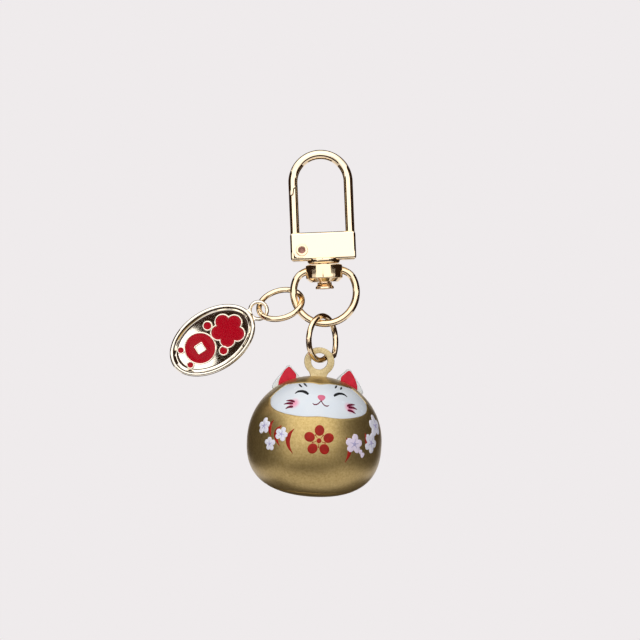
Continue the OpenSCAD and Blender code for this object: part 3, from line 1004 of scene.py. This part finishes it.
FACE_STEPS = 180
shares = [i / 20 for i in range(1, 19)] + [0.93, 0.96, 0.985, 1.0, 1.012, 0.6]
lifts = [-0.08] * 18 + [-0.085, -0.09, -0.10, -0.12, -0.3, -0.33]
heart = FACE_Z + 0.5
verts = [on_front(0, heart, -0.08)]
rows = [[0]]
for share, lift in zip(shares, lifts):
    rows.append(list(range(len(verts), len(verts) + FACE_STEPS)))
    for k in range(FACE_STEPS):
        x, z = face_edge(2 * math.pi * (k + 0.5) / FACE_STEPS)
        verts.append(on_front(x * share, heart + (z - heart) * share, lift))
rows.append([len(verts)])
verts.append(on_front(0, heart, -0.33))
face = from_data("face", verts, bridge(rows))
finish_piece(face, "white_face", doll_at, face_paint, "doll", "face_enamel", 60)

# ---- painted relief


# Cross-section of a stroke: share of its half width, share of its height
STROKE = ((-1, -0.7), (-0.88, 0.45), (-0.5, 0.9), (0, 1), (0.5, 0.9), (0.88, 0.45), (1, -0.7))


class Relief:
    """Thin raised paint laid on the doll, gathered into one mesh."""

    def __init__(self, place, base=0.0, height=0.05):
        self.place, self.base, self.height = place, base, height
        self.verts, self.faces = [], []

    def add(self, rows, closed):
        """rows hold (u, v, share of the full height)."""
        start = len(self.verts)
        n = len(rows[0])
        for row in rows:
            for u, v, h in row:
                self.verts.append(self.place(u, v, self.base + self.height * h))
        for i in range(len(rows) - 1):
            for k in range(n if closed else n - 1):
                m = (k + 1) % n
                a, b = start + i * n, start + (i + 1) * n
                self.faces.append((a + k, a + m, b + m, b + k))

    def blob(self, centre, shape, turn=0.0, steps=28):
        """A rounded island; shape gives its radius at an angle."""
        rows = []
        for share, h in ((0.001, 1), (0.55, 1), (0.82, 0.85), (0.95, 0.45), (1.0, -0.7)):
            row = []
            for k in range(steps):
                a = 2 * math.pi * k / steps
                r = shape(a) * share
                u, v = r * math.cos(a + turn), r * math.sin(a + turn)
                row.append((centre[0] + u, centre[1] + v, h))
            rows.append(row)
        self.add(rows, True)

    def stroke(self, points, widths, steps=20):
        """A brush stroke through control points, with the widths spread along it."""
        path = smooth_path(points, steps)
        n = len(path)
        rows = []
        for i, p in enumerate(path):
            a, b = path[max(0, i - 1)], path[min(n - 1, i + 1)]
            t = Vector((b[0] - a[0], b[1] - a[1])).normalized()
            s = i / (n - 1) * (len(widths) - 1)
            j = min(len(widths) - 2, int(s))
            w = widths[j] + (widths[j + 1] - widths[j]) * (s - j)
            ends = 0.35 if i in (0, n - 1) else 1.0
            rows.append([
                (p[0] - t.y * o * w / 2, p[1] + t.x * o * w / 2, h if h < 0 else h * ends)
                for o, h in STROKE
            ])
        self.add(rows, False)

    def make(self, name, material, slot):
        obj = from_data(name, self.verts, self.faces)
        return finish_piece(obj, name, doll_at, material, "doll", None, 80)


def smooth_path(points, steps):
    """Catmull-Rom curve through 2D points."""
    if len(points) == 2:
        (x0, z0), (x1, z1) = points
        points = [points[0], ((x0 + x1) / 2, (z0 + z1) / 2), points[1]]
    pts = [Vector(p) for p in points]
    pts = [2 * pts[0] - pts[1]] + pts + [2 * pts[-1] - pts[-2]]
    out = []
    spans = len(pts) - 3
    for i in range(spans):
        p0, p1, p2, p3 = pts[i:i + 4]
        for k in range(steps // spans + 1):
            t = k / (steps // spans + 1)
            square = (2 * p0 - 5 * p1 + 4 * p2 - p3) * t * t
            cube = (3 * p1 - p0 - 3 * p2 + p3) * t ** 3
            out.append(0.5 * ((2 * p1) + (p2 - p0) * t + square + cube))
    out.append(pts[-2])
    return out


def beside(azimuth, height):
    """Flat (u, v) plane in mm laid on the doll round a point."""
    rise = 1 / math.hypot(1, doll_slope(height))

    def place(u, v, lift):
        z = height + v * rise
        return skin(rad(azimuth) + u / doll_radius(height), z, lift)
    return place


ON_FACE = -0.085

# Closed eyes, brows and mouth
ink = Relief(on_front, ON_FACE, 0.045)
left_eye = [(-4.93, 20.12), (-4.35, 20.52), (-3.6, 20.65), (-2.9, 20.52), (-2.36, 20.22)]
right_eye = [(5.27, 20.08), (4.6, 20.52), (3.75, 20.65), (3.1, 20.5), (2.55, 20.2)]
ink.stroke(left_eye, [0.12, 0.34, 0.46, 0.58, 0.42])
ink.stroke(right_eye, [0.12, 0.32, 0.44, 0.54, 0.40])
for a, b in (
    ((-4.18, 21.78), (-3.56, 21.36)), ((-3.25, 22.1), (-2.6, 21.55)),
    ((3.33, 22.02), (2.83, 21.55)), ((4.35, 21.74), (3.9, 21.36)),
):
    ink.stroke([a, b], [0.12, 0.4, 0.34, 0.12], 8)
ink.make("brush_lines", brush_black, "white_enamel")

nose = Relief(on_front, ON_FACE, 0.06)


def nose_shape(a):
    power, reach = (2.4, 0.42) if math.sin(a) > 0 else (1.5, 0.66)
    return ((abs(math.cos(a)) / 0.8) ** power + (abs(math.sin(a)) / reach) ** power) ** (-1 / power)


nose.blob((0.12, 19.86), nose_shape)
nose.make("nose_pink", nose_pink, "ear_red")

whisker = Relief(on_front, ON_FACE, 0.045)
for lip in (
    [(-1.58, 18.7), (-1.25, 18.5), (-0.75, 18.56), (-0.3, 18.88), (0.03, 19.25)],
    [(1.58, 18.5), (1.25, 18.36), (0.8, 18.43), (0.35, 18.8), (0.05, 19.25)],
):
    whisker.stroke(lip, [0.12, 0.24, 0.22, 0.2, 0.2])
whisker.stroke([(0.1, 19.5), (0.05, 19.2)], [0.34, 0.26, 0.16], 6)
for outer_end, middle, inner_end in (
    ((-6.54, 18.66), (-5.7, 18.8), (-4.93, 18.67)),
    ((-6.98, 18), (-6.1, 18.28), (-5.22, 18.33)),
    ((-6.62, 17.24), (-5.95, 17.65), (-5.21, 17.78)),
    ((6.81, 18.7), (5.95, 18.72), (5.13, 18.5)),
    ((7.23, 17.86), (6.35, 18.22), (5.41, 18.24)),
    ((6.91, 17.12), (6.1, 17.58), (5.26, 17.76)),
):
    whisker.stroke([outer_end, middle, inner_end], [0.12, 0.3, 0.42, 0.5, 0.3], 12)
whisker.make("whiskers", whisker_red, "ear_red")

# Robe folds
robe = Relief(on_front, 0.0, 0.06)
for points, wide in (
    ([(-4.79, 13.85), (-5.55, 12.8), (-5.85, 11.52), (-5.5, 10.2), (-4.75, 9.14)], 0.85),
    ([(-7.12, 14.16), (-7.9, 13.3), (-8.11, 12.16), (-7.85, 11.2), (-7.30, 10.29)], 0.8),
    ([(-8.63, 14.96), (-9.15, 14.1), (-9.30, 13.17), (-9.2, 12.45), (-8.95, 11.85)], 0.6),
    ([(5.04, 12.82), (5.72, 11.6), (5.93, 10.41), (5.68, 9.2), (5.14, 8.05)], 0.85),
    ([(8.9, 13.5), (9.2, 12.58), (9.32, 11.6), (9.2, 10.7)], 0.6),
):
    robe.stroke(points, [0.04, wide * 0.55, wide * 0.95, wide, wide * 0.8, wide * 0.4, 0.04], 30)
robe.make("robe_folds", robe_red, "tag_red")

# Belly crest: a plain plum blossom
crest = Relief(on_front, 0.0, 0.06)
CREST = (-0.1, 12)


def petal_shape(size):
    return lambda a: size * (1 + 0.05 * math.cos(2 * a))


for k in range(5):
    angle = rad(90 + 72 * k)
    u, v = math.cos(angle), math.sin(angle)
    crest.blob((CREST[0] + 1.88 * u, CREST[1] + 1.88 * v), petal_shape(0.98), angle)
    u, v = math.cos(angle + rad(36)), math.sin(angle + rad(36))
    crest.stroke(
        [(CREST[0] + 0.55 * u, CREST[1] + 0.55 * v), (CREST[0] + 1.35 * u, CREST[1] + 1.35 * v)],
        [0.16, 0.12, 0.16, 0.3], 6)
crest.blob(CREST, lambda a: 0.48)
crest.make("belly_crest", robe_red, "tag_red")

# Blossoms on the shoulders: (azimuth, height, radius, turn, pinker)
petals = {False: Relief(None, 0.0, 0.09), True: Relief(None, 0.0, 0.09)}
hearts = Relief(None, 0.07, 0.05)


def heart_shaped(size):
    """A petal with a notch at its tip."""
    def shape(a):
        off = a if a < math.pi else 2 * math.pi - a
        return size * (1.0 + 0.10 * math.cos(2 * a) - 0.10 * math.exp(-off ** 2 / 0.05))
    return shape


for azimuth, height, radius, turn, pinker in (
    (-52.5, 13.57, 1.62, 100, False), (-32.4, 12.56, 1.38, 75, False),
    (-42.7, 10.43, 1.3, 95, False), (30.4, 11.55, 1.9, 84, True),
    (50.2, 11.6, 2.0, 62, False), (61.5, 14.7, 2.25, 88, False),
):
    place = beside(azimuth, height)
    group = petals[pinker]
    group.place = place
    hearts.place = place
    for k in range(5):
        angle = rad(turn + 72 * k + 5 * math.sin(3.1 * k + azimuth))
        far = radius * (0.56 + 0.03 * math.cos(2.3 * k + height))
        size = radius * (0.44 + 0.02 * math.sin(1.7 * k + azimuth))
        u, v = math.cos(angle), math.sin(angle)
        group.blob((far * u, far * v), heart_shaped(size), angle, 40)
        hearts.stroke(
            [(radius * 0.16 * u, radius * 0.16 * v), (radius * 0.52 * u, radius * 0.52 * v)],
            [radius * 0.12, radius * 0.08, radius * 0.04], 6)
    hearts.blob((0, 0), lambda a, s=radius: s * 0.17)
group = petals[True]
group.place = beside(39.6, 9.45)
group.blob((0, 0), lambda a: 0.52 + 0.05 * math.cos(3 * a), 0.4)
group.blob((-0.55, 0.62), lambda a: 0.42 + 0.04 * math.cos(2 * a), 0.9)
petals[False].make("blossom_petals", petal_white, "white_enamel")
petals[True].make("blossom_petals_pink", petal_pink, "white_enamel")
hearts.make("blossom_hearts", heart_violet, "white_enamel")

# ---- tag

FRONT = -TAG_T / 2
FLOOR = FRONT + TAG_FIELD
WALL_TOP = FRONT + 0.12


def oval_row(inset, y, steps):
    return [
        Vector((-TAG_REACH + (TAG_A - inset) * c, y, (TAG_B - inset) * s))
        for c, s in circle(steps)
    ]


# Plate: flat field, concave slope, rounded rim bead, round side, flat back
section = [(TAG_RIM + 2.4, FLOOR), (TAG_RIM + 0.9, FLOOR), (TAG_RIM + 0.12, FLOOR - 0.01)]
for t in (0.15, 0.35, 0.55, 0.75, 0.9):
    section.append((TAG_RIM - 0.62 * t, FLOOR - (TAG_FIELD - 0.12) * t ** 1.7))
section += [(0.72, FRONT + 0.07), (0.6, FRONT + 0.02), (0.46, FRONT), (0.3, FRONT + 0.03)]
section += [(0.16, FRONT + 0.12), (0.05, FRONT + 0.28), (0.0, FRONT + 0.5)]
section += [(0.0, -FRONT - 0.45), (0.06, -FRONT - 0.2), (0.2, -FRONT - 0.05)]
section += [(0.4, -FRONT), (3, -FRONT)]
plate = loft("plate", [oval_row(inset, y, 180) for inset, y in section])
bail_mid, bail_half = (BAIL_R + BAIL_HOLE) / 2, (BAIL_R - BAIL_HOLE) / 2
bail_section = [
    (bail_mid - bail_half * math.cos(rad(t)), -0.5 * math.sin(rad(t))) for t in range(0, 360, 20)
]
bail = across(lathe("bail", bail_section, 72, closed=True), 0, 0)
neck = box_tool((-TAG_REACH + TAG_A - 0.9, -0.5, -1.3), (-TAG_REACH + TAG_A + 0.3, 0.5, 1.3))
soften(neck, 0.15, 3)
cut(neck, across(rod_tool(BAIL_HOLE + 0.1, -1, 1), 0, 0))
fuse(plate, bail, neck)


def circle_edge(radius):
    return lambda a, grow: radius + grow


def square_edge(half):
    """Square with rounded corners; it shrinks as it grows outwards."""
    def edge(a, grow):
        h = half - grow
        c, s = abs(math.cos(a)), abs(math.sin(a))
        return h / (c ** 10 + s ** 10) ** 0.1
    return edge


def blossom_edge(radius):
    def edge(a, grow):
        best = 0.0
        for k in range(5):
            t = rad(72 * k + 18)
            c = radius * 0.6
            r = radius * 0.42 + grow
            along = c * math.cos(a - t)
            off = c * math.sin(a - t)
            if along > 0 and abs(off) < r:
                best = max(best, along + math.sqrt(r * r - off * off))
        return best
    return edge


def cell_row(centre, edge, grow, y, steps, share=1.0):
    out = []
    for k in range(steps):
        a = 2 * math.pi * k / steps
        r = edge(a, grow) * share
        u, v = centre[0] + r * math.cos(a), centre[1] + r * math.sin(a)
        out.append(Vector((-TAG_REACH + u, y, v)))
    return out


def wall(centre, edge, steps):
    rows = [
        cell_row(centre, edge, g, y, steps)
        for g, y in (
            (-0.02, FLOOR + 0.1), (-0.02, WALL_TOP + 0.07), (0.03, WALL_TOP + 0.01),
            (0.11, WALL_TOP - 0.01), (0.19, WALL_TOP + 0.01), (0.24, WALL_TOP + 0.08),
            (0.27, FLOOR + 0.1),
        )
    ]
    return loft("wall", rows + [rows[0]], False)


COIN = (-2.9, 0)
CELLS = [((3.7, 0), blossom_edge(3.3), 160), (COIN, circle_edge(3.0), 96)]
for side in (-1, 1):
    CELLS += [((0.75, side * 2.95), circle_edge(0.75), 48)]
    CELLS += [((-6.35, side * 1.75), circle_edge(0.55), 40)]
walls = [wall(*c) for c in CELLS] + [wall(COIN, square_edge(0.95), 64)]
joined(plate, *walls)
finish_piece(plate, "tag_cast_plate", tag_at, tag_gold, "tag", "tag_plate", 45)


def painted_shade_ring(name, points, swell):
    """Painted shade: a thin dark ring round the rim, where the tag's slopes fall in shade; swell
    widens its inner edge at the two ends, as painted shade too.
    """
    rows = []
    for i, (inset, y) in enumerate(points):
        row = oval_row(inset, y, 180)
        if i == len(points) - 1:
            for k, v in enumerate(row):
                v.x = v.x + (-TAG_REACH - v.x) * swell * abs(math.cos(2 * math.pi * k / 180)) ** 5
        rows.append(row)
    rows += [[v + Vector((0, 0.03, 0)) for v in row] for row in reversed(rows)]
    obj = loft(name, rows + [rows[0]], False)
    finish_piece(obj, name, tag_at, painted_shade_metal, "tag", None, 60)


# Dark lines inside the rim bead and at the foot of the field's slope: painted shade
painted_shade_ring("tag_rim_painted_shade", [(0.69, FRONT + 0.03), (0.79, FRONT + 0.09), (0.9, FRONT + 0.17)], 0.0)
field_shade_line = [(TAG_RIM - 0.07, FLOOR - 0.04), (TAG_RIM + 0.1, FLOOR - 0.04)]
painted_shade_ring("tag_field_painted_shade", field_shade_line, 0.04)


def enamel(centre, edge, steps, hole=None):
    """Fill of a cell, dished a little; a hole in it makes it a ring."""
    bottom = cell_row(centre, edge, 0.0, FLOOR + 0.05, steps)
    if hole:
        rows = [cell_row(centre, hole, 0.0, y, steps) for y in (FLOOR + 0.05, WALL_TOP + 0.06)]
        high = cell_row(centre, edge, 0.0, WALL_TOP + 0.06, steps)
        for t in (0.1, 0.3, 0.6, 0.85, 0.97, 1.0):
            dip = Vector((0, 0.04 * math.sin(math.pi * t), 0))
            rows.append([a.lerp(b, t) + dip for a, b in zip(rows[1], high)])
        return loft("enamel", rows + [bottom, rows[0]], False)
    rows = [bottom]
    for share, dip in (
        (1.0, 0.05), (0.96, 0.075), (0.85, 0.09), (0.6, 0.09), (0.3, 0.085), (0.05, 0.085)
    ):
        rows.append(cell_row(centre, edge, 0.0, WALL_TOP + dip, steps, share))
    return loft("enamel", rows)


fills = [enamel(*c) for c in CELLS if c[0] != COIN]
fills.append(enamel(COIN, circle_edge(3.0), 96, square_edge(0.95)))
red = fills[0]
joined(red, *fills[1:])
finish_piece(red, "tag_red_enamel", tag_at, tag_red, "tag", "tag_enamel", 45)
